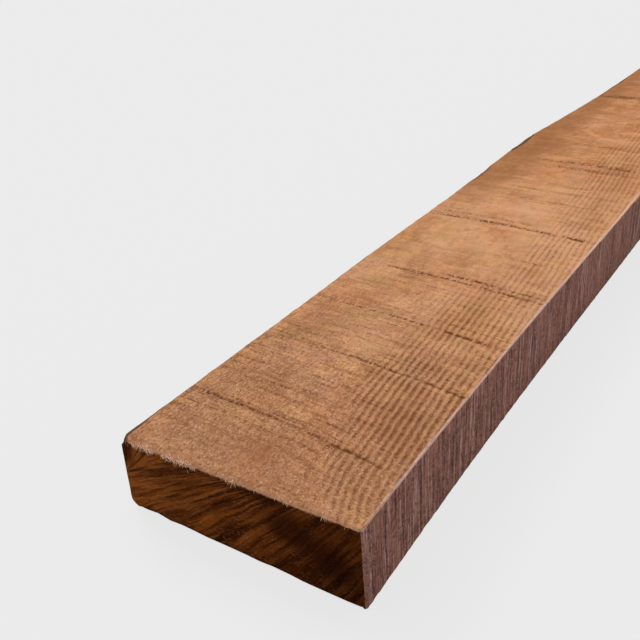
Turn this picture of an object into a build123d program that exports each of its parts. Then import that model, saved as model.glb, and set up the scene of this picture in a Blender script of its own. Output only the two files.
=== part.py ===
from build123d import *
from math import cos, radians, sin
import os

# A rough-sawn hardwood plank: one piece of timber, lying on its wide face.
# +X runs along the grain from the near end to the far one, +Y is towards the
# rough side and -Y towards the clean side. The origin is under the middle of
# the plank, on the surface that it lies on. All sizes are in millimetres.

# Stock sizes, as sawn
length = 1800.0  # the shortest of the usual lengths, which go up by 300
width = 150.0
thickness = 50.0  # along the clean side
thickness_loss = 3.0  # the rough side came off the saw this much thinner
rough_foot = 2.8  # how much further out the rough side stands at its foot

# Shape after drying
spring = 11.0  # how far the middle stands towards +Y, against the two ends

# Wander of each long side between the ends: places along it, as the distance
# from the near end and how far out the side stands there
clean_wander = ((150.0, -0.8), (450.0, 2.2), (900.0, 1.2), (1350.0, -0.8))
rough_wander = (
    (150.0, -0.6),
    (300.0, 0.0),
    (470.0, 0.3),
    (600.0, 4.5),
    (740.0, 0.8),
    (960.0, -1.6),
    (1400.0, 1.0),
)

# Long arrises and the near corners
worn_arris = 6.0  # lower arris of the rough side, rounded by handling
eased_arris = 1.2  # arrises of the clean side, with its upright edge at the near end
knocked_corner = 2.6  # how deep the near upper corner of the rough side is broken
end_lean = 1.5  # degrees that the near cross cut overhangs at the top

# Where the upper arris of the rough side is torn off in long shallow scoops:
# middle of the scoop from the near end, its run, its depth and its lean from
# level in degrees
torn_arris = (
    (490.0, 60.0, 1.0, 24.0),
    (602.0, 90.0, 1.8, 22.0),
    (1000.0, 640.0, 9.0, 50.0),
)

half_length = length / 2
half_width = width / 2
blank_thickness = thickness + thickness_loss  # before the upper face is sawn
run_out = thickness_loss / width  # slope of the upper face across the plank
scoop_reach = thickness  # how far a scoop's cutter goes to either side of the arris


def side_points(side, wander, stand_out=0.0):
    """Points along one long side, seen from above; side is +1 or -1 across Y."""
    points = []
    for distance, outwards in ((0.0, 0.0), *wander, (length, 0.0)):
        x = distance - half_length
        sprung = spring * (0.5 - (x / half_length) ** 2)
        points.append((x, side * (half_width + outwards + stand_out) + sprung))
    return points


def rough_arris(distance):
    """Point on the rough side's upper arris, at a distance from the near end."""
    on_blank = rough_side @ (distance / length)
    height = thickness - run_out * (on_blank.Y + half_width)
    stand_out = rough_foot * (1 - height / blank_thickness)
    return Vector(on_blank.X, on_blank.Y + stand_out, height)


def scoop_plane(distance, lean):
    """Plane on that arris, +X along it and +Z down the slope of a scoop there."""
    grain = rough_side % (distance / length)
    level_out = Vector(-grain.Y, grain.X, 0)
    down_slope = level_out * cos(radians(lean)) - Vector(0, 0, sin(radians(lean)))
    return Plane(origin=rough_arris(distance), x_dir=grain, z_dir=down_slope)


# The board as it leaves the saw, with its sides sprung and wandering
with BuildPart() as board:
    for height, stand_out in ((0.0, rough_foot), (blank_thickness, 0.0)):
        with BuildSketch(Plane.XY.offset(height)):
            with BuildLine():
                clean_side = Spline(*side_points(-1, clean_wander))
                rough_side = Spline(*side_points(+1, rough_wander, stand_out))
                Line(clean_side @ 0, rough_side @ 0)
                Line(clean_side @ 1, rough_side @ 1)
            make_face()
    loft(ruled=True)

    # The upper face, which the saw let run out towards the rough side
    upper_face = Plane(origin=(0, -half_width, thickness), z_dir=(0, run_out, 1))
    split(bisect_by=upper_face, keep=Keep.BOTTOM)

    # The near cross cut, which leaves the upper arris standing out
    cut_facing = (-cos(radians(end_lean)), 0, -sin(radians(end_lean)))
    near_cut = Plane(origin=(-half_length, 0, blank_thickness), z_dir=cut_facing)
    split(bisect_by=near_cut, keep=Keep.BOTTOM)

    # Arrises that wear and handling have rounded
    long_edges = board.edges().filter_by(lambda edge: edge.length > half_length)
    clean_edges = long_edges.sort_by(Axis.Y)[:2]
    rough_edges = long_edges.sort_by(Axis.Y)[2:]
    fillet(rough_edges.sort_by(Axis.Z)[0], radius=worn_arris)
    near_end = board.faces().sort_by(Axis.X)[0]
    clean_upright = near_end.edges().sort_by(Axis.Y)[0]
    fillet([*clean_edges, clean_upright], radius=eased_arris)

    # The near upper corner of the rough side, broken off
    broken_off = Vector(-1, 1, 1).normalized()
    break_plane = Plane(origin=rough_arris(0) - broken_off * knocked_corner, z_dir=broken_off)
    split(bisect_by=break_plane, keep=Keep.BOTTOM)

    # The torn arris: each scoop is a shallow slice by a very large cylinder
    for middle, run, depth, lean in torn_arris:
        scoop_radius = (run / 2) ** 2 / (2 * depth) + depth / 2
        with BuildSketch(scoop_plane(middle, lean).offset(-scoop_reach)):
            with Locations((0, -(scoop_radius - depth))):
                Circle(scoop_radius)
        extrude(amount=2 * scoop_reach, mode=Mode.SUBTRACT)

# The plank, with its origin under the middle of what it covers
covers = board.part.bounding_box()
with BuildPart() as plank:
    with Locations((-covers.center().X, -covers.center().Y, 0)):
        add(board.part)
plank.part.label = "plank"

os.makedirs("parts", exist_ok=True)
export_step(plank.part, "parts/plank.step")
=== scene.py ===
import math

import bpy
import numpy as np
from bpy.props import FloatProperty, FloatVectorProperty, IntProperty, PointerProperty
from mathutils import Matrix, Vector
from mathutils.bvhtree import BVHTree
from mathutils.geometry import delaunay_2d_cdt


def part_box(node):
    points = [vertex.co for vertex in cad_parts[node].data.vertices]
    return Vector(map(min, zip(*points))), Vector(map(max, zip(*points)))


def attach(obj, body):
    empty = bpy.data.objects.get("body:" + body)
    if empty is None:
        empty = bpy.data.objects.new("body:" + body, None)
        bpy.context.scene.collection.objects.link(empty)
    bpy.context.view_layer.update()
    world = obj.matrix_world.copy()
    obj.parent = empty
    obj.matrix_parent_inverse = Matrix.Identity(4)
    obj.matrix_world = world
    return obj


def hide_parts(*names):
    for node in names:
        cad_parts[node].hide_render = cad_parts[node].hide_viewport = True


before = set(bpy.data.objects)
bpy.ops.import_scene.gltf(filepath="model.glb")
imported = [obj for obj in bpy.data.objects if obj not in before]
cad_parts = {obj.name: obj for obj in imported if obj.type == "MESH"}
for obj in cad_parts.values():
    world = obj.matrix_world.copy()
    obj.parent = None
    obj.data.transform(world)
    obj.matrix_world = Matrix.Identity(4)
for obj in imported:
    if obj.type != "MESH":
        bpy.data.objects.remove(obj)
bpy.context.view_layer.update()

bl_info = {
    "name": "Rough-sawn plank",
    "version": (1, 0, 0),
    "blender": (4, 5, 0),
    "location": "3D View > Sidebar > Plank",
    "description": "Dresses a plain solid plank with saw marks, torn fibres and timber materials",
    "category": "Object",
}

# The plank's own coordinates, in millimetres, are the distance along it from
# the near end, the distance across it from its middle line (+ is the rough
# side) and the height above the floor.

MM = 0.001
NEAR_CORNER, FAR_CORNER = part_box("plank")
LENGTH = (FAR_CORNER.x - NEAR_CORNER.x) / MM
HALF_WIDTH = 75.0
THICKNESS = 50.0
TOP_SLOPE = 0.02  # of the upper face, down towards the rough side
END_LEAN = math.tan(math.radians(1.5))  # the near cross cut overhangs at the top
TOP_MARKS = (36, 42)  # heights between which the upper face's marks fade in
FACE_TILT = 0.55  # faces whose normal's upright part is larger take the sawn face's finish
SHARP_EDGE = 52.0  # degrees

# The mesh has rows of points round the plank: the first ones and one close
# behind the near cut, the distance to the next, how much that grows for each
# millimetre along and where it ends before the far end, the least gap, the
# rows at a score, in shares of its half width, and the last ones, counted
# back from the far end
FIRST_ROWS = (0.0, 0.9, 1.5, 2.3, 3.3, 4.5, 5.9)
RIM_ROW = 0.15
ROW_STEP = 1.7
ROW_GROWTH = 0.0092
ROWS_STOP = 8
LEAST_GAP = 0.45
SCORE_ROWS = (-1.55, -0.8, 0, 0.8, 1.55)
LAST_ROWS = (5.0, 2.6, 1.2, 0.4, 0.0)
END_RUN = 40  # over which the rows turn from the cut's line to the saw's arc
CAP_STEP = 1.6  # distance between the points inside a cut end

# The blade's line on the faces: how much further along for each millimetre
# across, and how it bends
SAW_LEAN = 0.115
SAW_BEND = 0.0006

# Dull patches on the upper face: place along the plank and across it, half
# their size either way and strength; a pale patch has a strength below 0
DULLED = (
    (26, -4, 20, 22, 0.6), (88, -54, 34, 20, 0.9), (150, 50, 30, 22, 0.5),
    (225, -40, 60, 26, 0.35), (500, -48, 90, 26, 0.4), (610, 44, 60, 30, 0.5),
    (900, 0, 110, 70, 0.4), (1420, -20, 90, 50, 0.4), (404, 2, 13, 26, -0.6),
    (467, -12, 10, 24, -0.6), (307, 33, 12, 13, -0.45), (87, -4, 10, 18, -0.3),
    (150, 2, 20, 16, -0.35), (640, -6, 14, 30, -0.5),
)

# The band saw's cross scores on the upper face: place along the middle line,
# from and to across the plank, depth as a share of the deepest, half width;
# real ones are about 1 mm wide, and far off they are drawn wider, to show
SCORES = (
    (42, -32, 76, 0.6, 0.9), (52.5, -66, 76, 1.0, 1.2), (55.8, -20, 70, 0.55, 0.8),
    (84, 26, 66, 0.45, 0.9), (128.8, -76, 44, 0.9, 1.4), (131.8, 14, 72, 0.5, 1.0),
    (186, -76, 76, 0.85, 1.5), (196, -76, 40, 0.6, 1.3), (253.4, -76, 60, 0.95, 1.7),
    (260, -76, 10, 0.8, 1.6), (309, -70, 10, 0.4, 1.6), (368, -76, 76, 0.9, 2.7),
    (378, -20, 72, 0.5, 2.4), (434.7, -60, 20, 0.5, 2.8), (461, -70, 40, 0.4, 3.2),
    (532, -76, 20, 0.6, 4.6), (549, -76, 46, 0.8, 5.4), (612, -76, 46, 0.4, 5.0),
    (700, -60, 60, 0.4, 5.5), (831, -76, 70, 0.85, 8.0), (905, -70, 50, 0.45, 6.5),
    (1032, -76, 76, 0.6, 4.2), (1180, -76, 30, 0.7, 3.4), (1365, -40, 76, 0.6, 3.6),
    (1544, -76, 76, 0.8, 3.8), (1700, -76, 50, 0.5, 4.0),
)

# How far from the middle line, towards the clean side, the washboard ridges
# begin: place along the plank and that distance
RIDGED = (
    (0, 48), (60, 24), (120, 10), (230, 12), (270, 36), (360, 30), (420, 20),
    (560, 14), (700, 20), (900, 34), (1100, 16), (1400, 28), (1800, 20),
)

# How far the ridges drift across for each millimetre along, and how much more
# over the first stretch
RIDGE_DRIFT = 0.065
END_DRIFT = 10.4
END_DRIFT_RUN = 40

# Dark strips on the rough side's upper arris: middle and half of
# each one's run along the plank, and its width on the upper face
DARK_STRIPS = ((8, 13, 2.4), (26, 27, 0.9), (487, 27, 1.3), (594, 44, 2.2), (905, 60, 2.0))

# Tufts of fibres on the near end's upper arris: place across the plank, half
# width and share of the longest
TUFTS = (
    (58, 6, 1.0), (40, 4, 0.9), (29, 5, 0.9), (-1, 2.5, 0.45), (-34, 2, 0.15), (-57, 3, 0.15),
)

# Slope of the growth rings on the ends, in degrees where they cross half
# height: on the middle line, how much less for each millimetre towards the
# rough side, the least and the most
RING_SLOPE = 40.5
RING_FAN = 0.25
LEAST_SLOPE = 27.0
MOST_SLOPE = 62.0

# Where the rings fan out at the rough side's upper corner: across, height and
# how far apart they are spread
FAN_ACROSS = 76.0
FAN_HEIGHT = 24.0
FAN_SPREAD = 30.0

# Dark stains on the cut ends: across, height, half their size either way and
# strength; where torn fibres leave them pale the strength is below 0
STAINS = (
    (-33, 31, 16, 11, 1.2), (-60, 19, 13, 14, 1.0), (53, 45, 17, 4, 0.6),
    (10, 46, 24, 4.5, 0.6), (-22, 47, 16, 5, 0.7), (62, 2, 7, 4, 0.6),
    (72.5, 40, 5.5, 10, 1.3), (22, 22, 16, 5, 0.45), (58, 46, 6, 2.6, -1.0),
    (40, 46.6, 4, 1.8, -0.9), (28, 47.2, 6, 1.8, -0.9), (-1, 48.4, 3.5, 1.2, -0.5),
)
BROKEN_STAIN = 0.7  # on the broken near corner

FACE, SIDE, CUT_END = 0, 1, 2  # the three finishes

# Attributes of the mesh that aren't plain numbers
KINDS = {"board": "FLOAT_VECTOR", "growth": "FLOAT_VECTOR", "aim": "FLOAT_VECTOR", "finish": "INT"}

# The stage: half the floor's width in metres, the share of the floor's own
# colour that the camera sees, and the lamp's direction and angle in degrees
FLOOR_REACH = 30.0
FLOOR_SHARE = 0.9
LAMP_FROM = (0.35, 0.75, 0.8)
LAMP_ANGLE = 24.0


def linear(hex_colour):
    """Linear colour of an sRGB hex value, as "#RRGGBB"."""
    channels = [int(hex_colour[i : i + 2], 16) / 255 for i in (1, 3, 5)]
    return tuple(c / 12.92 if c <= 0.04045 else ((c + 0.055) / 1.055) ** 2.4 for c in channels)


def distance_property(name, description, default):
    return FloatProperty(
        name=name, description=description, default=default, min=0.0,
        subtype="DISTANCE", unit="LENGTH", precision=5,
    )


def angle_property(name, description, degrees):
    return FloatProperty(
        name=name, description=description, default=math.radians(degrees),
        subtype="ANGLE", unit="ROTATION",
    )


def colour_property(name, description, hex_colour):
    return FloatVectorProperty(
        name=name, description=description, default=linear(hex_colour),
        size=3, min=0.0, max=1.0, subtype="COLOR",
    )


def strength_property(name, description, default):
    return FloatProperty(name=name, description=description, default=default, min=0.0)


def seed_property(default):
    return IntProperty(
        name="Seed", description="Seed of every random place and size", default=default, min=0)


class PlankRelief(bpy.types.PropertyGroup):
    """Sizes of the marks that the saws left."""

    ridge_spacing: distance_property(
        "Ridge spacing", "Distance between the washboard ridges on the clean half", 0.0045)
    ridge_depth: distance_property(
        "Ridge depth", "Height of a washboard ridge over its valley", 0.00035)
    score_depth: distance_property(
        "Score depth", "Depth of the deepest cross score", 0.0007)
    nap_depth: distance_property(
        "Nap depth", "Unevenness of the torn-up fibres, all over the plank", 0.00025)
    chip_depth: distance_property(
        "Chip depth", "How far the near end's arrises have crumbled", 0.0013)
    end_depth: distance_property(
        "End grain depth", "How deep the cross cut tore the soft rings", 0.00035)
    seed: seed_property(11)


class PlankFibres(bpy.types.PropertyGroup):
    """Sizes of the fibres that stand off the arrises."""

    per_square_metre: strength_property(
        "Fibres per square metre", "Where the arris is most torn", 7000000.0)
    length: distance_property("Length", "Length of the longest fibre", 0.0042)
    thickness: distance_property(
        "Thickness", "Thickness of a fibre at its root, about twice a real one's, to show", 0.00042)
    droop: FloatProperty(
        name="Droop", description="How far the tips hang, as a share of the longest fibre's length",
        default=0.5, min=0.0, max=1.0, subtype="FACTOR")
    seed: seed_property(5)


class PlankColours(bpy.types.PropertyGroup):
    """Main colours of the timber."""

    face: colour_property("Sawn face", "Upper and lower face", "#CE9870")
    side: colour_property("Sawn side", "Both narrow sides", "#8F5F52")
    cut_end: colour_property("Cut end", "End grain", "#602F0E")
    fibre: colour_property("Fibres", "The palest of the torn fibres", "#F6CDAE")


class PlankStage(bpy.types.PropertyGroup):
    """Camera, lights and floor."""

    azimuth: angle_property("Azimuth", "Direction of view round the plank", -54.651)
    elevation: angle_property("Elevation", "Height of the view over the horizon", 27.649)
    roll: angle_property("Roll", "Turn of the camera about its own axis", -3.830)
    target: FloatVectorProperty(
        name="Target", description="Where the camera points", default=(-0.6654, 0.0978, 0.0),
        size=3, subtype="XYZ", unit="LENGTH")
    distance: distance_property("Distance", "From the camera to its target", 0.6408)
    lens: FloatProperty(
        name="Lens", description="Focal length in millimetres, on a 36 mm frame",
        default=45.90, min=1.0, unit="CAMERA")
    backdrop: colour_property("Backdrop", "Floor and surroundings", "#EBEBEB")
    sky_light: strength_property("Sky light", "Strength of the soft light from all round", 0.72)
    sun_light: strength_property("Sun light", "Strength of the broad lamp over the plank", 1.5)


SETTINGS = {
    "plank_relief": PlankRelief,
    "plank_fibres": PlankFibres,
    "plank_colours": PlankColours,
    "plank_stage": PlankStage,
}


# Nodes

# The kinds of node and the settings that are used most
MATH, VECTOR_MATH = "ShaderNodeMath", "ShaderNodeVectorMath"
MAP_RANGE, NOISE = "ShaderNodeMapRange", "ShaderNodeTexNoise"
MULTIPLY, DIVIDE, POWER, LARGER, SMALLER = (
    {"operation": name} for name in ("MULTIPLY", "DIVIDE", "POWER", "MAXIMUM", "MINIMUM"))
EASED = {"interpolation_type": "SMOOTHSTEP"}
SEEDED = {"noise_dimensions": "4D"}


def put(tree, kind, settings=None, inputs=None):
    """Adds one node; an input is a plain value, a socket, or a node for its first output."""
    node = tree.nodes.new(kind)
    for name, value in (settings or {}).items():
        setattr(node, name, value)
    for key, value in (inputs or {}).items():
        if isinstance(value, bpy.types.Node):
            value = value.outputs[0]
        if isinstance(value, bpy.types.NodeSocket):
            tree.links.new(value, node.inputs[key])
        else:
            node.inputs[key].default_value = value
    return node


def emptied(owner):
    """Node tree of a new material or world, with nothing in it."""
    owner.use_nodes = True
    owner.node_tree.nodes.clear()
    return owner.node_tree


def placed(name, data):
    """A new object in the scene."""
    made = bpy.data.objects.new(name, data)
    bpy.context.scene.collection.objects.link(made)
    return made


# The plank's mesh


def smooth(value, low, high):
    """Rises smoothly from 0 at low to 1 at high."""
    share = np.clip((np.asarray(value, float) - low) / (high - low), 0, 1)
    return share * share * (3 - 2 * share)


def spaced(start, stop, step):
    """Even distances from start to stop, about a step apart."""
    return np.linspace(start, stop, max(2, round((stop - start) / step) + 1))


def wander(rng, places, pitch):
    """Smooth random values from -1 to 1 at the places, changing over about a pitch."""
    knots = np.arange(places.min() - 2 * pitch, places.max() + 3 * pitch, pitch)
    values = rng.uniform(-1, 1, len(knots))
    index = np.clip(((places - knots[0]) / pitch).astype(int), 0, len(knots) - 2)
    share = smooth((places - knots[index]) / pitch, 0, 1)
    return values[index] * (1 - share) + values[index + 1] * share


def spots(first, second, table):
    """Sum of soft spots: place on the first and second axis, half size on both, strength."""
    return sum(
        strength * np.exp(-(((first - place) / half) ** 2) - ((second - level) / half_up) ** 2)
        for place, level, half, half_up, strength in table
    )


def saw_arc(across):
    """How far along the blade's line lies, against where it crosses the middle line."""
    return SAW_LEAN * across - SAW_BEND * across**2


def row_places():
    """Places along the plank of the mesh's rows, closer at the near end and at each score."""
    places = list(FIRST_ROWS)
    while places[-1] < LENGTH - ROWS_STOP:
        places.append(places[-1] + ROW_STEP + ROW_GROWTH * places[-1])
    kept = [place + share * half for place, _, _, _, half in SCORES for share in SCORE_ROWS]
    kept += [LENGTH - back for back in LAST_ROWS]
    for place in places[:-1]:
        if min(abs(place - other) for other in kept) > LEAST_GAP:
            kept.append(place)
    return np.array(sorted({0.0, RIM_ROW, *kept}))


def outline():
    """Nominal section, as (across, height) from the clean upper arris round over the top."""
    width = 2 * HALF_WIDTH
    arris = np.array([0.35, 0.8, 1.3, 1.9, 2.7])
    over = [[0], arris, spaced(3.5, 88, 0.88), spaced(89.2, 146, 1.2), width - arris[::-1], [width]]
    down = [arris, spaced(4, 40, 3), [41.5, 43, 44.5, 46, 47.5, 49, THICKNESS]]
    back = [[1, 2.5, 4, 5.5, 7.5, 10], spaced(18, 140, 9), width - arris[::-1], [width]]
    up = [arris, spaced(3.8, 46, 2.6), THICKNESS - arris[::-1]]
    points = [(d - HALF_WIDTH, THICKNESS) for d in np.concatenate(over)]
    points += [(HALF_WIDTH, THICKNESS - d) for d in np.concatenate(down)]
    points += [(HALF_WIDTH - d, 0.0) for d in np.concatenate(back)]
    points += [(-HALF_WIDTH, d) for d in np.concatenate(up)]
    return np.array(points)


def cast_rows(surface, places, section):
    """Where rays from inside the solid meet it, the middle line's y and the normals, by row."""
    core = THICKNESS / 2  # the rays start this high, and this far in from either side
    nudge = 0.03  # the first and last row are cast just inside the cuts
    points = np.zeros((len(places), len(section), 3))
    middles = np.zeros(len(places))
    facing = np.zeros((len(places), len(section), 3))
    for row, place in enumerate(places):
        probe = Vector((NEAR_CORNER.x + np.clip(place, 2, LENGTH - 2) * MM, 0, core * MM))
        sides = [surface.ray_cast(probe, Vector((0, way, 0)))[0].y for way in (-1, 1)]
        middles[row] = middle = sum(sides) / 2
        lean = (1 - float(smooth(place, 0, END_RUN))) * END_LEAN
        bend = float(smooth(place, 0, END_RUN) * smooth(LENGTH - place, 0, END_RUN))
        inwards = nudge if place == 0 else -nudge if row == len(places) - 1 else 0
        for column, (across, height) in enumerate(section):
            start_across = np.clip(across, core - HALF_WIDTH, HALF_WIDTH - core)
            out, up = across - start_across, height - core
            x = place + inwards + bend * saw_arc(start_across) + lean * (FAR_CORNER.z / MM - core)
            start = Vector((NEAR_CORNER.x + x * MM, middle + start_across * MM, core * MM))
            slope = bend * (SAW_LEAN - 2 * SAW_BEND * start_across)
            hit, normal, _, _ = surface.ray_cast(start, Vector((slope * out - lean * up, out, up)))
            if hit is None:
                raise RuntimeError(f"a ray at {place:.1f} mm along the plank found no surface")
            points[row, column] = hit - Vector((inwards * MM, 0, 0))
            facing[row, column] = normal
    return points, middles, facing


def end_cap(rim, first, rng):
    """Points inside an end's (y, z) rim, numbered from first, and the triangles that fill it."""
    low, high = rim.min(0), rim.max(0)
    step = CAP_STEP * MM
    least = 1e-12  # keeps a division from zero
    columns, rows = (np.arange(low[axis] + step, high[axis], step) for axis in (0, 1))
    grid = np.array([(y, z) for y in columns for z in rows])
    grid += rng.uniform(-0.3, 0.3, grid.shape) * step

    # Points are kept where they are inside the rim and clear of it
    ahead = np.roll(rim, -1, 0) - rim
    offset = grid[:, None, :] - rim[None, :, :]
    share = np.clip((offset * ahead).sum(2) / np.maximum((ahead**2).sum(1), least), 0, 1)
    clear = np.sqrt(((offset - share[..., None] * ahead) ** 2).sum(2)).min(1)
    crossing = (rim[:, 1] > grid[:, 1:2]) != (np.roll(rim[:, 1], -1) > grid[:, 1:2])
    rise = np.where(ahead[:, 1] == 0, least, ahead[:, 1])
    run = ahead[:, 0] * (grid[:, 1:2] - rim[:, 1]) / rise + rim[:, 0]
    inside = (crossing & (grid[:, 0:1] < run)).sum(1) % 2 == 1
    grid = grid[inside & (clear > 0.7 * step)]
    together = [Vector(p) for p in np.concatenate([rim, grid]) / MM]
    found = delaunay_2d_cdt(together, [], [list(range(len(rim)))], 1, 1e-5)
    number = [ids[0] if ids[0] < len(rim) else ids[0] - len(rim) + first for ids in found[3]]
    return grid, [[number[i] for i in face] for face in found[2]]


def growth_rings(across, height):
    """Distance through the growth rings and along them; they lean, and fan out at a corner."""
    level = height - THICKNESS / 2
    crossing = across.copy()  # where the ring through a point crosses half height
    for _ in range(12):
        slope = np.radians(np.clip(RING_SLOPE - RING_FAN * crossing, LEAST_SLOPE, MOST_SLOPE))
        crossing = across + level / np.tan(slope)
    least, fan = math.radians(LEAST_SLOPE), math.radians(RING_FAN)
    straight_from = (RING_SLOPE - LEAST_SLOPE) / RING_FAN
    through = np.cos(slope) / fan + math.sin(least) * np.maximum(crossing - straight_from, 0)
    fan_crossing = FAN_ACROSS + (FAN_HEIGHT - THICKNESS / 2) / math.tan(least)
    fan_start = math.cos(least) / fan + math.sin(least) * (fan_crossing - straight_from)
    turn = np.arctan2(height - FAN_HEIGHT, np.maximum(FAN_ACROSS - across, 0.5)) - least
    return np.where(turn > 0, fan_start + FAN_SPREAD * turn, through), level / np.sin(slope)


def washboard(along, across, rng):
    """Distance across the washboard ridges, and two factors of their strength."""
    # Their lines drift, jump at each score and wander by up to 0.6 mm
    drift = RIDGE_DRIFT * along + END_DRIFT * (1 - np.exp(-along / END_DRIFT_RUN))
    jumps = rng.uniform(-0.5, 0.5, len(SCORES) + 1)
    phase = (
        across - drift + jumps[np.searchsorted([score[0] for score in SCORES], along)]
        + 0.4 * wander(rng, along + 0.8 * across, 19)
        + 0.2 * wander(rng, along - 0.6 * across, 6)
    )
    # They fade in across the plank, weaken a little along it and start late at the near end
    begins = np.interp(along, *zip(*RIDGED)) + 6 * wander(rng, along, 27)
    fade = smooth(-across, begins - 9, begins + 12) * (0.78 + 0.22 * wander(rng, along, 31))
    fade = np.clip(fade * (1 - 0.25 * smooth(along, 170, 420)), 0, 1)
    near_end = smooth(along + 1.4 * (-across - 40), 0, 36) * (0.7 + 0.3 * smooth(along, 25, 75))
    return phase, fade, near_end


def saw_scores(along, across, rng):
    """Depth of the cross scores, broken up along their run, as a share of the deepest."""
    score = np.zeros(len(along))
    for place, start, stop, strength, half in SCORES:
        # Each line wobbles, is deepest along its middle and fades in and out at its ends
        wobble = 0.25 * wander(rng, across, 5) + 0.15 * wander(rng, across, 1.7)
        bite = np.clip(1.4 - np.abs(along - place + wobble) / half, 0, 1)
        run = smooth(across, start - 2, start + 6) * (1 - smooth(across, stop - 8, stop + 2))
        run = run * (0.85 + 0.15 * wander(rng, across, 4))
        run = run * (0.85 + 0.25 * wander(rng, across, 19))
        score = np.maximum(score, strength * bite * run)
    return score


def timber_mesh(relief):
    """The plank's skin on the solid, with what the relief and the materials read on it."""
    rng = np.random.default_rng(relief.seed)
    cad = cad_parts["plank"].data
    surface = BVHTree.FromPolygons([v.co for v in cad.vertices], [p.vertices for p in cad.polygons])
    places = row_places()
    points, middles, facing = cast_rows(surface, places, outline())
    rows, columns = points.shape[:2]
    around = rows * columns

    # Faces between the rows
    index = np.arange(around).reshape(rows, columns)
    nexts = np.roll(index, -1, 1)
    quads = np.stack([index[:-1], index[1:], nexts[1:], nexts[:-1]], -1).reshape(-1, 4)
    facing_z = facing[:, :, 2].reshape(-1)
    finish = np.where(np.abs(facing_z[quads].mean(1)) > FACE_TILT, FACE, SIDE)

    # Both ends
    vertices = [points.reshape(-1, 3)]
    faces = [list(map(int, quad)) for quad in quads]
    count = around
    for row, way, corner, lean in ((0, -1, NEAR_CORNER, END_LEAN), (rows - 1, 1, FAR_CORNER, 0.0)):
        inner, triangles = end_cap(points[row, :, 1:], count, rng)
        x = corner.x + lean * (FAR_CORNER.z - inner[:, 1])
        vertices.append(np.column_stack([x, inner]))
        for triangle in triangles:
            faces.append([i if i >= count else int(index[row, i]) for i in triangle][::way])
        count += len(inner)
    finish = np.concatenate([finish, np.full(len(faces) - len(finish), CUT_END)])
    vertices = np.concatenate(vertices)

    mesh = bpy.data.meshes.new("sawn_plank")
    mesh.from_pydata(vertices.tolist(), [], faces)
    mesh.update()
    if sum(p.center.dot(p.normal * p.area) for p in mesh.polygons) < 0:
        mesh.flip_normals()

    # The plank's own coordinates
    behind_cut = (vertices[around:, 0] - NEAR_CORNER.x) / MM
    along = np.concatenate([np.repeat(places, columns), behind_cut])
    across = (vertices[:, 1] - np.interp(vertices[:, 0], points[:, 0, 0], middles)) / MM
    height = vertices[:, 2] / MM
    number = np.arange(len(vertices))
    capped = number >= around
    near_half = vertices[:, 0] < 0
    facing_z = np.concatenate([facing_z, np.zeros(len(vertices) - around)])
    high_up = smooth(height, *TOP_MARKS)
    upper = high_up * smooth(facing_z, 0.45, 0.7)

    # Growth rings, stains, dull patches and the saw's marks
    through, along_rings = growth_rings(across, height)
    stain = spots(across, height, STAINS)
    dull = upper * spots(along, across, DULLED)
    phase, fade, near_end = washboard(along, across, rng)
    ridged = upper * fade * near_end
    score = saw_scores(along, across, rng) * upper

    # The clean side's upper arris, painted pale as a highlight, and dark strips along the rough
    # side's torn one
    clean_distance = np.hypot(across + HALF_WIDTH, THICKNESS - height)
    pale = 1 - smooth(clean_distance, 0.6, 1.8)
    flat_top = (facing_z > 0.985) & (upper > 0.5)
    edge_across = np.array([across[row][flat_top[row]].max() for row in index])
    back_from_edge = edge_across[np.minimum(number // columns, rows - 1)] - across
    torn = np.zeros(len(vertices))
    for middle, half_run, width in DARK_STRIPS:
        taper = np.sqrt(np.clip(1 - ((along - middle) / half_run) ** 2, 0, 1))
        strip = 1 - smooth(back_from_edge, 0.4 * width * taper, width * taper + 0.01)
        strip = strip * smooth(back_from_edge, -7 * taper - 0.01, -3 * taper)
        torn = np.maximum(torn, strip * smooth(taper, 0.0, 0.5) * high_up * (across > 0))

    # The broken near corner has the cut end's finish, and the near end's arrises crumble
    broken = (along < 6) & (across > 64) & (height > 38) & (facing_z < 0.97) & (facing_z > 0.1)
    finish[: len(quads)][broken[quads].all(1)] = CUT_END
    stain[broken] = BROKEN_STAIN
    below_top = THICKNESS - TOP_SLOPE * (across + HALF_WIDTH) - height
    from_end = np.where(capped, below_top, along)
    at_top = (upper > 0) | (capped & near_half)
    frayed = (1 - smooth(from_end, 0.4, 3.4)) * at_top
    frayed[~near_half | broken] = 0
    # Near end's bottom edge: the arris crumbles, and painted shade darkens it where the plank meets
    # the floor
    lower_rim = (1 - smooth(height, 0.2, 2.2)) * (1 - smooth(along, 0.5, 2.0)) * near_half

    # Where fibres stand, and the way that they point
    rough_arris = upper * (1 - smooth(HALF_WIDTH - across, 0.5, 3.0)) * (along > 6)
    ragged = 0.5 + 0.5 * wander(rng, across, 6)
    tufted = sum(
        strength * np.exp(-(((across - place) / half) ** 2)) for place, half, strength in TUFTS)
    on_arris = (1 - smooth(from_end, 0.8, 3.0)) * at_top * near_half * ~capped
    hairy = np.maximum(on_arris * np.clip(0.01 * ragged + tufted, 0, 1), 0.01 * rough_arris)
    aim = np.zeros((len(vertices), 3))
    aim[:, 0] = -1
    aim[rough_arris > 0] = (0.8, 0.55, 0.0)

    for name, values in {
        "board": np.column_stack([along, across, height]),
        "growth": np.column_stack([through, along_rings, along]),
        "aim": aim, "phase": phase, "ridged": ridged, "score": score, "pale": pale,
        "torn": torn, "stain": stain, "dull": dull, "frayed": frayed,
        "chipped": np.maximum(frayed, 1.3 * lower_rim), "hairy": hairy, "tufted": tufted,
        "rim": lower_rim, "cut": capped | (along == 0) | (along == LENGTH),
    }.items():
        layer = mesh.attributes.new(name, KINDS.get(name, "FLOAT"), "POINT")
        field = "vector" if name in KINDS else "value"
        layer.data.foreach_set(field, values.astype(np.float32).ravel())
    layer = mesh.attributes.new("finish", KINDS["finish"], "FACE")
    layer.data.foreach_set("value", finish.astype(np.int32))
    return mesh


# Relief


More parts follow.
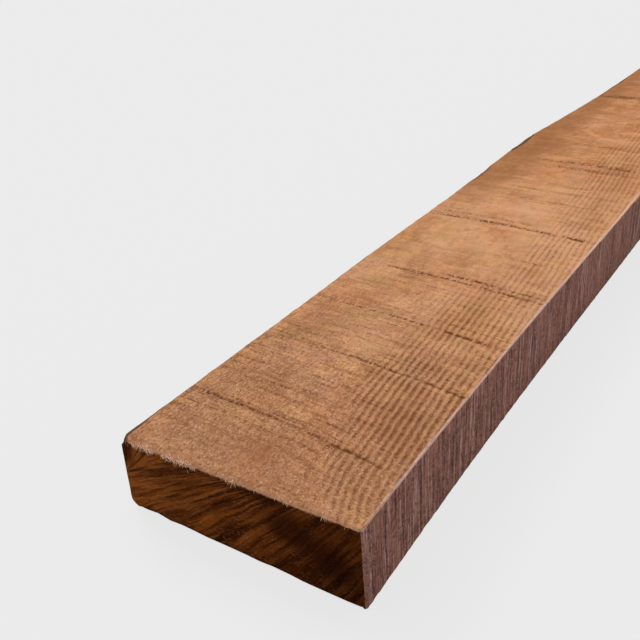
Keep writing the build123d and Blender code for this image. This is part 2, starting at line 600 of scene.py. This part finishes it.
def new_tree(name, sizes, whole_numbers, materials, attributes):
    """A Geometry Nodes tree, its named inputs, and the attributes that it reads."""
    tree = bpy.data.node_groups.new(name, "GeometryNodeTree")
    tree.is_modifier = True
    for way in ("INPUT", "OUTPUT"):
        tree.interface.new_socket(name="Geometry", in_out=way, socket_type="NodeSocketGeometry")
    for kind, labels in (("Float", sizes), ("Int", whole_numbers), ("Material", materials)):
        for label in labels:
            tree.interface.new_socket(name=label, in_out="INPUT", socket_type=f"NodeSocket{kind}")
    read = {}
    for label in attributes:
        node = put(tree, "GeometryNodeInputNamedAttribute",
                   {"data_type": KINDS.get(label, "FLOAT")}, {"Name": label})
        read[label] = node.outputs["Attribute"]
    return tree, put(tree, "NodeGroupInput").outputs, read


def evaluated_piece(name, carrier, tree, values):
    """Runs a tree on an object and returns its result as a plain mesh object with no modifier."""
    modifier = carrier.modifiers.new(tree.name, "NODES")
    modifier.node_group = tree
    for item in tree.interface.items_tree:
        if item.item_type == "SOCKET" and item.in_out == "INPUT" and item.name in values:
            modifier[item.identifier] = values[item.name]
    graph = bpy.context.evaluated_depsgraph_get()
    graph.update()
    mesh = bpy.data.meshes.new_from_object(
        carrier.evaluated_get(graph), preserve_all_data_layers=True, depsgraph=graph)
    carrier.modifiers.remove(modifier)
    mesh.name = name
    return placed(name, mesh)


def relief_tree():
    """Cuts the saw marks into the skin, always inwards, and gives each finish its material."""
    tree, given, read = new_tree(
        "Saw relief",
        ("Ridge spacing", "Ridge depth", "Score depth", "Nap depth", "Chip depth",
         "End grain depth", "Seed"),
        (),
        ("Face", "Side", "Cut end"),
        ("board", "growth", "phase", "ridged", "score", "chipped", "cut", "finish"),
    )

    # Unevenness of each kind: attribute, size of its features in millimetres, low and high of
    # what counts
    uneven = {}
    for label, source, size, low, high in (
        ("nap", "board", (3.2, 1.7, 1.7), 0.3, 0.7),
        ("swell", "board", (9.0, 26.0, 14.0), 0.35, 0.65),
        ("broken", "board", (7.0, 3.0, 3.0), 0.25, 0.6),
        ("chips", "board", (2.6, 5.0, 2.0), 0.36, 0.66),
        ("rings", "growth", (2.0, 18.0, 30.0), 0.32, 0.68),
    ):
        place = put(tree, VECTOR_MATH, DIVIDE, {0: read[source], 1: size})
        noise = put(tree, NOISE, SEEDED, {"Vector": place, "W": given["Seed"], "Scale": 1.0})
        uneven[label] = put(tree, MAP_RANGE, {},
                            {"Value": noise, "From Min": low, "From Max": high})

    spacing = put(tree, MATH, DIVIDE, {0: given["Ridge spacing"], 1: MM})
    turns = put(tree, MATH, DIVIDE, {0: read["phase"], 1: spacing})
    angle = put(tree, MATH, MULTIPLY, {0: turns, 1: math.tau})
    wave = put(tree, MATH, {"operation": "COSINE"}, {0: angle})
    valley = put(tree, MAP_RANGE, {}, {"Value": wave, "From Min": -1.0})

    # Each mark's depth is a product of its factors, and the marks add up
    total = 0.0
    for depth, *factors in (
        (given["Ridge depth"], read["ridged"], valley, uneven["broken"]),
        (given["Score depth"], read["score"], uneven["broken"]),
        (given["Nap depth"], uneven["nap"]),
        (given["Nap depth"], uneven["swell"]),
        (given["Chip depth"], read["chipped"], uneven["chips"]),
        (given["End grain depth"], read["cut"], uneven["rings"]),
    ):
        for factor in factors:
            depth = put(tree, MATH, MULTIPLY, {0: depth, 1: factor})
        total = put(tree, MATH, {}, {0: total, 1: depth})

    inwards = put(tree, MATH, MULTIPLY, {0: total, 1: -1.0})
    normal = put(tree, "GeometryNodeInputNormal")
    offset = put(tree, VECTOR_MATH, {"operation": "SCALE"},
                 {0: normal, "Scale": inwards})
    moved = put(tree, "GeometryNodeSetPosition", {},
                {"Geometry": given["Geometry"], "Offset": offset})
    geometry = put(tree, "GeometryNodeRealizeInstances", {}, {0: moved})
    for label, finish in (("Face", FACE), ("Side", SIDE), ("Cut end", CUT_END)):
        chosen = put(tree, "FunctionNodeCompare", {"data_type": "INT", "operation": "EQUAL"},
                     {2: read["finish"], 3: finish})
        geometry = put(tree, "GeometryNodeSetMaterial", {},
                       {"Geometry": geometry, "Selection": chosen, "Material": given[label]})
    put(tree, "NodeGroupOutput", {}, {0: geometry})
    return tree


def fibre_tree():
    """Stands thin tapered fibres on the skin where it is torn, pointing as the saw left them."""
    tree, given, read = new_tree(
        "Torn fibres", ("Density", "Length", "Thickness", "Droop"), ("Seed",), ("Fibre",),
        ("hairy", "tufted", "aim", "reach"),
    )
    density = put(tree, MATH, MULTIPLY, {0: given["Density"], 1: read["hairy"]})
    roots = put(tree, "GeometryNodeDistributePointsOnFaces", {},
                {"Mesh": given["Geometry"], "Density": density, "Seed": given["Seed"]})

    # One fibre: a slim three-sided cone along +Z with a few rings, so that it can bend
    fibre = put(tree, "GeometryNodeMeshCone", {}, {
        "Vertices": 3, "Side Segments": 4, "Radius Top": 0.12, "Radius Bottom": 0.5, "Depth": 1.0})
    place = put(tree, "GeometryNodeInputPosition")
    split = put(tree, "ShaderNodeSeparateXYZ", {}, {0: place})
    marked = put(tree, "GeometryNodeStoreNamedAttribute", {},
                 {"Geometry": fibre, "Name": "reach", "Value": split.outputs["Z"]})

    # Each points its own way, and most are shorter than the longest
    spread = put(tree, "FunctionNodeRandomValue", {"data_type": "FLOAT_VECTOR"},
                 {"Min": (-0.3, -3.0, -1.0), "Max": (0.8, 3.0, 0.5), "Seed": given["Seed"]})
    turned = put(tree, VECTOR_MATH, {}, {0: read["aim"], 1: spread})
    facing = put(tree, "FunctionNodeAlignRotationToVector", {"axis": "Z"}, {"Vector": turned})
    share = put(tree, "FunctionNodeRandomValue", {}, {"Min": 0.25, "Seed": 3})
    short = put(tree, MATH, POWER, {0: share.outputs[1], 1: 1.6})
    fuller = put(tree, MAP_RANGE, {}, {"Value": read["tufted"], "To Min": 0.3})
    trimmed = put(tree, MATH, MULTIPLY, {0: fuller, 1: short})
    length = put(tree, MATH, MULTIPLY, {0: given["Length"], 1: trimmed})
    size = put(tree, "ShaderNodeCombineXYZ", {},
               {0: given["Thickness"], 1: given["Thickness"], 2: length})
    stood = put(tree, "GeometryNodeInstanceOnPoints", {},
                {"Points": roots, "Instance": marked, "Rotation": facing, "Scale": size})
    tint = put(tree, "FunctionNodeRandomValue", {}, {"Seed": 8})
    tinted = put(tree, "GeometryNodeStoreNamedAttribute", {"domain": "INSTANCE"},
                 {"Geometry": stood, "Name": "tint", "Value": tint.outputs[1]})
    real = put(tree, "GeometryNodeRealizeInstances", {}, {0: tinted})

    # The tips hang
    drop = put(tree, MATH, POWER, {0: read["reach"], 1: 2.0})
    for factor in (given["Droop"], given["Length"], -1.0):
        drop = put(tree, MATH, MULTIPLY, {0: drop, 1: factor})
    fall = put(tree, "ShaderNodeCombineXYZ", {}, {2: drop})
    hung = put(tree, "GeometryNodeSetPosition", {}, {"Geometry": real, "Offset": fall})

    # None reaches past the solid's own box
    kept = put(tree, "GeometryNodeInputPosition")
    for limit, corner in ((LARGER, NEAR_CORNER), (SMALLER, FAR_CORNER)):
        kept = put(tree, VECTOR_MATH, limit, {0: kept, 1: tuple(corner)})
    held = put(tree, "GeometryNodeSetPosition", {}, {"Geometry": hung, "Position": kept})
    dressed = put(tree, "GeometryNodeSetMaterial", {},
                  {"Geometry": held, "Material": given["Fibre"]})
    put(tree, "NodeGroupOutput", {}, {0: dressed})
    return tree


# Materials

# Every size here is in millimetres, but for the distance of a bump, in metres.
# A real fibre is 0.05 to 0.2 mm wide and a pore as fine: both are drawn 1 to
# 2 mm wide, because finer ones wouldn't show.


def layered(tree, colour, layers, coordinates=None, detail=4.0, mask=None):
    """Lays colours over a colour: mask, or size of a noise's features, what counts of it, a
    colour and its strength."""
    for number, (source, low, high, hex_colour, strength) in enumerate(layers):
        if isinstance(source, tuple):
            place = put(tree, VECTOR_MATH, DIVIDE, {0: coordinates, 1: source})
            source = put(tree, NOISE, SEEDED, {
                "Vector": place, "W": 3.7 * number, "Scale": 1.0, "Detail": detail,
                "Roughness": 0.6})
        share = put(tree, MAP_RANGE, EASED,
                    {"Value": source, "From Min": low, "From Max": high, "To Max": strength})
        if mask is not None:
            share = put(tree, MATH, MULTIPLY, {0: share, 1: mask})
        colour = put(tree, "ShaderNodeMix", {"data_type": "RGBA"},
                     {0: share, 6: colour, 7: (*linear(hex_colour), 1)}).outputs[2]
    return colour


def noise_height(tree, coordinates, layers):
    """Sum of noise layers as a height: size of their features, share of the height."""
    total = 0.0
    for number, (size, share) in enumerate(layers):
        place = put(tree, VECTOR_MATH, DIVIDE, {0: coordinates, 1: size})
        noise = put(tree, NOISE, SEEDED, {"Vector": place, "W": 5.1 * number, "Scale": 1.0})
        part = put(tree, MATH, MULTIPLY, {0: noise, 1: share})
        total = put(tree, MATH, {}, {0: total, 1: part})
    return total


def new_material(name, attributes):
    """A material with no nodes yet but those that read the piece's attributes."""
    material = bpy.data.materials.new(name)
    tree = emptied(material)
    read = {}
    for label in attributes:
        node = put(tree, "ShaderNodeAttribute", {"attribute_name": label})
        read[label] = node.outputs["Vector" if label in KINDS else "Fac"]
    return material, tree, read


def finished(tree, colour, roughness, specular, bump=None):
    """Ends a material in wood's own shader; bump is its height, distance and strength."""
    inputs = {"Base Color": colour, "Roughness": roughness, "IOR": 1.5,
              "Specular IOR Level": specular}
    if bump is not None:
        height, distance, strength = bump
        inputs["Normal"] = put(tree, "ShaderNodeBump", {},
                               {"Height": height, "Distance": distance, "Strength": strength})
    shader = put(tree, "ShaderNodeBsdfPrincipled", {}, inputs)
    put(tree, "ShaderNodeOutputMaterial", {}, {"Surface": shader})


def band_sawn_face(colours, relief):
    """Reddish hardwood off a band saw: matt, with torn-up fibres, soft patches, painted shade in
    the ridge valleys and painted highlights on the crests and the clean arris.
    """
    material, tree, read = new_material("band_sawn_face", (
        "board", "phase", "ridged", "score", "pale", "torn", "frayed", "rim", "dull"))
    board = read["board"]
    along, across, _ = put(tree, "ShaderNodeSeparateXYZ", {}, {0: board}).outputs
    dotted = noise_height(tree, board, (((3.4, 2.0, 3), 1.0),))
    patchy = noise_height(tree, board, (((13, 24, 20), 1.0),))
    rough_up = noise_height(tree, board, (((4.5, 2.2, 2.2), 0.6), ((2.2, 26, 30), 0.4)))
    turns = put(tree, MATH, MULTIPLY,
                {0: read["phase"], 1: math.tau * MM / relief.ridge_spacing})
    wave = put(tree, MATH, {"operation": "COSINE"}, {0: turns})
    read["over"] = put(tree, MATH, MULTIPLY, {0: wave, 1: -1.0})

    # Masks: what each is read from, from where to where, and its values there
    for name, easing, source, start, stop, low, high in (
        ("near_by", EASED, along, 230, 120, 0, 1),
        ("far_off", EASED, along, 330, 520, 0, 1),
        ("rough_edge", EASED, across, 18, 66, 0, 1),
        ("calm", EASED, along, 15, 120, 0.45, 1),
        ("woolly", EASED, along, 360, 40, 0.15, 1),
        ("begins", EASED, along, 6, 50, 0, 1),
        ("whiter", {}, along, 0, 90, 0.45, 1),
        ("dots", {}, dotted, 0.38, 0.60, 0.12, 1),
        ("spread", {}, patchy, 0.38, 0.54, 0, 1),
        ("breaks", {}, rough_up, 0.34, 0.58, 0, 1),
        # breaks up the painted highlight along the clean arris
        ("highlight_patches", {}, rough_up, 0.36, 0.56, 0.45, 1),
        ("thin", EASED, wave, 0, 1, 0, 1),
    ):
        read[name] = put(tree, MAP_RANGE, easing, {
            "Value": source, "From Min": start, "From Max": stop, "To Min": low, "To Max": high})
    for name, first, *factors in (
        ("shaded", "near_by", "ridged"),
        ("brown", "far_off", "rough_edge"),
        ("lined", "woolly", "dots", "begins", "spread"),
        # painted shade in the ridges' valleys (also the bump's height), and a painted highlight on
        # their crests
        ("valley", "breaks", "ridged", "thin"),
        # painted highlight along the clean arris
        ("arris_highlight", "highlight_patches", "whiter", "pale"),
        ("bites", "dots", "score"),
        ("crest_highlight", "over", "ridged"),
    ):
        read[name] = read[first]
        for factor in factors:
            read[name] = put(tree, MATH, MULTIPLY, {0: read[name], 1: read[factor]})

    # Slow change along the plank, from dull at the near end to orange far off
    base = layered(tree, (*colours.face, 1), (
        (along, 235.0, 40.0, "#AA7753", 0.85),
        (along, 50.0, 4.0, "#96674D", 0.42),
        (along, 380.0, 620.0, "#BA7C4C", 0.9),
        (read["shaded"], 0.0, 1.0, "#8A5534", 0.55),
        (read["brown"], 0.0, 0.9, "#8E5A2F", 0.5),
    ))
    base = layered(tree, base, (
        ((80, 46, 42), 0.46, 0.60, "#B9703F", 0.5),
        ((64, 40, 40), 0.52, 0.66, "#A9813F", 0.35),
        ((60, 30, 30), 0.50, 0.66, "#A36840", 0.45),
        ((26, 20, 16), 0.50, 0.62, "#DB9C68", 0.6),
        ((14, 60, 40), 0.50, 0.63, "#DEA26F", 0.5),
        ((9.0, 50, 40), 0.52, 0.64, "#96592F", 0.4),
        ((8.0, 6.0, 4.0), 0.50, 0.64, "#8B552D", 0.3),
        ((7.0, 5.4, 3.4), 0.53, 0.66, "#E0AA7A", 0.4),
        ((19, 15, 12), 0.50, 0.64, "#D0937A", 0.3),
        ((22, 17, 14), 0.52, 0.66, "#AC8850", 0.3),
    ), board, mask=read["calm"])
    base = layered(tree, base, (
        ((4.0, 40, 30), 0.52, 0.64, "#87512B", 0.45),
        ((2.2, 34, 30), 0.52, 0.64, "#7C4827", 0.4),
        ((3.4, 1.5, 1.9), 0.50, 0.62, "#7A4728", 0.55),
        ((30, 2.6, 2), 0.51, 0.63, "#8B5430", 0.35),
        ((6.5, 1.0, 1.2), 0.54, 0.70, "#E0B596", 0.22),
        ((5.0, 1.1, 1.2), 0.54, 0.68, "#7C4A2C", 0.3),
        ((2.0, 1.4, 1.7), 0.53, 0.66, "#E0B48E", 0.4),
    ), board, mask=read["woolly"])

    # Fine dotted cross lines, close together near the end, and the torn-up fibres
    base = layered(tree, base, (
        ((1.5, 34, 30), 0.54, 0.64, "#5F3216", 0.75),
        ((2.3, 30, 30), 0.55, 0.65, "#5F3216", 0.7),
    ), board, detail=1.0, mask=read["lined"])
    base = layered(tree, base, (
        ((1.2, 1.0, 1.0), 0.56, 0.72, "#EAC8A8", 0.55),
        ((1.7, 1.4, 1.2), 0.51, 0.65, "#6A3C22", 0.6),
    ), board, detail=2.0, mask=read["woolly"])

    # Dull patches, painted shade in the ridge valleys and a painted highlight on the crests,
    # scores, the frayed near arris, a painted highlight along the clean arris, dark strips on the
    # rough arris and painted shade along the near end's bottom edge
    base = layered(tree, base, (
        (read["brown"], 0.0, 0.9, "#945E33", 0.6),
        (read["dull"], 0.0, 1.0, "#7C4629", 0.5),
        (read["dull"], 0.0, -1.0, "#DDA67E", 0.75),
        # painted highlight on the ridge crests, painted shade in their valleys
        (read["crest_highlight"], -0.3, 0.9, "#D4A077", 0.35),
        (read["valley"], 0.0, 0.95, "#643519", 0.52),
        (read["bites"], 0.0, 0.68, "#653618", 0.95),
        (read["frayed"], 0.0, 1.0, "#946A52", 0.5),
        # painted highlight along the clean arris
        (read["arris_highlight"], 0.15, 0.9, "#DAB5A6", 0.75),
        (read["torn"], 0.3, 0.8, "#4F3628", 0.85),
        # painted shade along the near end's bottom edge, where it meets the floor
        (read["rim"], 0.1, 0.6, "#2A1206", 0.9),
    ))
    nap = noise_height(
        tree, board, (((1.7, 1.2, 1.1), 0.65), ((20, 1.5, 1.4), 0.2), ((1.8, 30, 30), 0.4)))
    height = put(tree, MATH, {"operation": "MULTIPLY_ADD"},
                 {0: read["valley"], 1: -0.32, 2: nap})
    finished(tree, base, 0.9, 0.08, (height, 0.0011, 0.9))
    return material


def sawn_side(colours):
    """The same timber ripped on a circular saw: upright saw lines, dulled to a purple brown."""
    material, tree, read = new_material("ripsawn_side", ("board", "pale", "torn"))
    board = read["board"]
    along = put(tree, "ShaderNodeSeparateXYZ", {}, {0: board})
    base = layered(tree, (*colours.side, 1), ((along, 14.0, 1.0, "#85645A", 0.5),))
    base = layered(tree, base, (
        ((46, 40, 60), 0.48, 0.64, "#6E4038", 0.5),
        ((60, 40, 30), 0.50, 0.66, "#8A624E", 0.45),
        ((9, 40, 60), 0.50, 0.64, "#553029", 0.4),
        ((2.0, 40, 70), 0.49, 0.60, "#341815", 0.75),
        ((1.8, 40, 46), 0.51, 0.63, "#B8948A", 0.65),
        ((3.0, 3, 3.4), 0.50, 0.63, "#42231E", 0.6),
        ((2.6, 3, 2.6), 0.55, 0.70, "#B08A80", 0.4),
        ((1.2, 1.2, 1.3), 0.52, 0.64, "#A98B78", 0.45),
        ((1.4, 1.2, 1.2), 0.52, 0.64, "#3B1D18", 0.4),
    ), board)
    base = layered(tree, base, (
        # painted highlight along the clean arris, and the dark strips on the rough one
        (read["pale"], 0.3, 0.9, "#D0A899", 0.65),
        (read["torn"], 0.3, 0.8, "#5B4538", 0.9),
    ))
    height = noise_height(tree, board, (((1.9, 40, 90), 0.6), ((1.6, 3, 3), 0.4)))
    finished(tree, base, 0.9, 0.1, (height, 0.001, 0.9))
    return material


def cross_cut_end(colours):
    """End grain off a cross-cut saw: open pores drink the light, so it is darker than a face."""
    material, tree, read = new_material("cross_cut_end", ("board", "growth", "frayed", "stain"))
    board = read["board"]
    across = put(tree, "ShaderNodeSeparateXYZ", {}, {0: board}).outputs[1]

    # The rings wander a little
    uneven = put(tree, VECTOR_MATH, DIVIDE, {0: board, 1: (30, 22, 14)})
    swirl = put(tree, NOISE, {}, {"Vector": uneven, "Scale": 1.0})
    spread = put(tree, VECTOR_MATH, MULTIPLY,
                 {0: swirl.outputs["Color"], 1: (3.0, 5.0, 0.0)})
    bent = put(tree, VECTOR_MATH, {}, {0: read["growth"], 1: spread})

    base = layered(tree, (*colours.cut_end, 1), ((across, 0.0, 64.0, "#84491D", 0.85),))
    base = layered(tree, base, (
        ((11, 60, 40), 0.46, 0.62, "#3A1503", 0.55),
        ((5.0, 60, 40), 0.48, 0.62, "#7A3F12", 0.55),
        ((4.2, 50, 40), 0.50, 0.62, "#2A0C01", 0.6),
        ((2.3, 60, 40), 0.52, 0.62, "#1E0600", 0.65),
        ((2.5, 40, 40), 0.54, 0.66, "#8E5023", 0.45),
        ((1.5, 40, 30), 0.55, 0.65, "#1A0500", 0.5),
        ((1.2, 1.2, 3), 0.53, 0.70, "#8A6240", 0.32),
        ((1.6, 1.9, 3), 0.52, 0.70, "#1E0700", 0.35),
    ), bent, detail=1.0)
    # The pale fringe of torn fibres along the end's top: partly its own colour, partly painted
    # light, brightened as if lit like the upper face
    ragged = noise_height(tree, board, (((2.0, 2.6, 4.0), 1.6),))
    fringe_and_light = put(tree, MATH, MULTIPLY, {0: ragged, 1: read["frayed"]})
    base = layered(tree, base, (
        (across, 10.0, -72.0, "#1D0600", 0.6),
        (read["stain"], 0.1, 1.0, "#1E0703", 0.75),
        (read["stain"], -0.15, -1.0, "#B4937C", 0.6),
        (fringe_and_light, 0.15, 0.75, "#BC8F70", 0.85),
    ))
    height = noise_height(tree, bent, (((2.0, 20, 40), 0.6), ((0.9, 1.6, 4), 0.4)))
    finished(tree, base, 1.0, 0.01, (height, 0.0008, 0.8))
    return material


def torn_fibre(colours):
    """Fibres torn off the arris by the saw: thin and dry, so they look pale and pinkish."""
    material, tree, read = new_material("torn_fibre", ("tint",))
    base = layered(tree, (*colours.fibre, 1), ((read["tint"], 0.3, 0.9, "#C48F6C", 0.9),))
    finished(tree, base, 0.8, 0.1)
    return material


# Operators


class PLANK_OT_saw_timber(bpy.types.Operator):
    """Make the plank's skin on the solid, with its saw marks, and its three sawn finishes"""

    bl_idname = "plank.saw_timber"
    bl_label = "Saw timber"

    def execute(self, context):
        relief, colours = context.scene.plank_relief, context.scene.plank_colours
        carrier = placed("plank_carrier", timber_mesh(relief))
        piece = evaluated_piece("sawn_plank", carrier, relief_tree(), {
            "Ridge spacing": relief.ridge_spacing, "Ridge depth": relief.ridge_depth,
            "Score depth": relief.score_depth, "Nap depth": relief.nap_depth,
            "Chip depth": relief.chip_depth, "End grain depth": relief.end_depth,
            "Seed": float(relief.seed), "Face": band_sawn_face(colours, relief),
            "Side": sawn_side(colours), "Cut end": cross_cut_end(colours),
        })
        bpy.data.objects.remove(carrier)
        piece.data.shade_smooth()
        piece.data.set_sharp_from_angle(angle=math.radians(SHARP_EDGE))
        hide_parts("plank")
        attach(piece, "root")
        return {"FINISHED"}


class PLANK_OT_torn_fibres(bpy.types.Operator):
    """Stand torn fibres on the near end's arris and along the rough side's"""

    bl_idname = "plank.torn_fibres"
    bl_label = "Torn fibres"

    def execute(self, context):
        fibres, colours = context.scene.plank_fibres, context.scene.plank_colours
        carrier = bpy.data.objects["sawn_plank"]
        piece = evaluated_piece("torn_fibres", carrier, fibre_tree(), {
            "Density": fibres.per_square_metre, "Length": fibres.length,
            "Thickness": fibres.thickness, "Droop": fibres.droop, "Seed": fibres.seed,
            "Fibre": torn_fibre(colours),
        })
        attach(piece, "root")
        return {"FINISHED"}


class PLANK_OT_stage(bpy.types.Operator):
    """Make the pale floor, the soft lights and the camera"""

    bl_idname = "plank.stage"
    bl_label = "Stage"

    def execute(self, context):
        stage, scene = context.scene.plank_stage, context.scene
        backdrop = (*stage.backdrop, 1)

        # Floor: shown in its own colour, with a part of the light's shading kept for the shadow
        floor_material = bpy.data.materials.new("matt_floor")
        tree = emptied(floor_material)
        matt = put(tree, "ShaderNodeBsdfDiffuse", {}, {"Color": backdrop})
        plain = put(tree, "ShaderNodeEmission", {}, {"Color": backdrop})
        rays = put(tree, "ShaderNodeLightPath").outputs
        seen = put(tree, MATH, MULTIPLY, {0: rays["Is Camera Ray"], 1: FLOOR_SHARE})
        both = put(tree, "ShaderNodeMixShader", {}, {0: seen, 1: matt, 2: plain})
        put(tree, "ShaderNodeOutputMaterial", {}, {"Surface": both})
        corners = [
            (x * FLOOR_REACH, y * FLOOR_REACH, 0) for x, y in ((-1, -1), (1, -1), (1, 1), (-1, 1))]
        floor_mesh = bpy.data.meshes.new("floor")
        floor_mesh.from_pydata(corners, [], [(0, 1, 2, 3)])
        floor_mesh.materials.append(floor_material)
        floor = placed("floor", floor_mesh)

        # Soft light from all round, and the backdrop's colour where the camera, a gloss or a
        # see-through part looks at it
        world = bpy.data.worlds.new("soft_box")
        tree = emptied(world)
        rays = put(tree, "ShaderNodeLightPath").outputs
        shown = rays["Is Camera Ray"]
        for ray in ("Is Glossy Ray", "Is Transmission Ray"):
            shown = put(tree, MATH, LARGER, {0: shown, 1: rays[ray]})
        light = put(tree, "ShaderNodeBackground", {},
                    {"Color": (1, 1, 1, 1), "Strength": stage.sky_light})
        plain = put(tree, "ShaderNodeBackground", {}, {"Color": backdrop})
        both = put(tree, "ShaderNodeMixShader", {}, {0: shown, 1: light, 2: plain})
        put(tree, "ShaderNodeOutputWorld", {}, {"Surface": both})
        scene.world = world

        # A broad lamp high up on the rough side, which rakes across the ridges
        lamp_data = bpy.data.lights.new("broad_lamp", "SUN")
        lamp_data.energy = stage.sun_light
        lamp_data.angle = math.radians(LAMP_ANGLE)
        lamp = placed("broad_lamp", lamp_data)
        lamp.rotation_euler = Vector(LAMP_FROM).to_track_quat("Z", "Y").to_euler()

        # Camera, at the photograph's angle
        level = math.cos(stage.elevation)
        away = Vector((
            math.sin(stage.azimuth) * level,
            -math.cos(stage.azimuth) * level,
            math.sin(stage.elevation),
        ))
        right = (-away).cross(Vector((0, 0, 1))).normalized()
        up = right.cross(-away)
        axes = Matrix((
            right * math.cos(stage.roll) + up * math.sin(stage.roll),
            up * math.cos(stage.roll) - right * math.sin(stage.roll),
            away,
        )).transposed().to_4x4()
        camera_data = bpy.data.cameras.new("camera")
        camera_data.sensor_width = 36.0
        camera_data.lens = stage.lens
        camera_data.clip_start = 0.01
        camera_data.clip_end = 200.0
        camera = placed("camera", camera_data)
        place = Vector(stage.target) + away * stage.distance
        camera.matrix_world = Matrix.Translation(place) @ axes
        scene.camera = camera
        scene.view_settings.view_transform = "Standard"
        return {"FINISHED"}


OPERATORS = (PLANK_OT_saw_timber, PLANK_OT_torn_fibres, PLANK_OT_stage)


class PLANK_PT_sidebar(bpy.types.Panel):
    """Sizes, colours and steps of the plank"""

    bl_label = "Rough-sawn plank"
    bl_idname = "PLANK_PT_sidebar"
    bl_space_type = "VIEW_3D"
    bl_region_type = "UI"
    bl_category = "Plank"

    def draw(self, context):
        for name, group in SETTINGS.items():
            box = self.layout.box()
            box.label(text=group.__doc__)
            for field in group.__annotations__:
                box.prop(getattr(context.scene, name), field)
        for operator in OPERATORS:
            self.layout.operator(operator.bl_idname)


CLASSES = (*SETTINGS.values(), *OPERATORS, PLANK_PT_sidebar)


def register():
    for part in CLASSES:
        bpy.utils.register_class(part)
    for name, group in SETTINGS.items():
        setattr(bpy.types.Scene, name, PointerProperty(type=group))


def unregister():
    for name in SETTINGS:
        delattr(bpy.types.Scene, name)
    for part in reversed(CLASSES):
        bpy.utils.unregister_class(part)


def main():
    register()
    bpy.ops.plank.saw_timber()
    bpy.ops.plank.torn_fibres()
    bpy.ops.plank.stage()


if __name__ == "__main__":
    main()
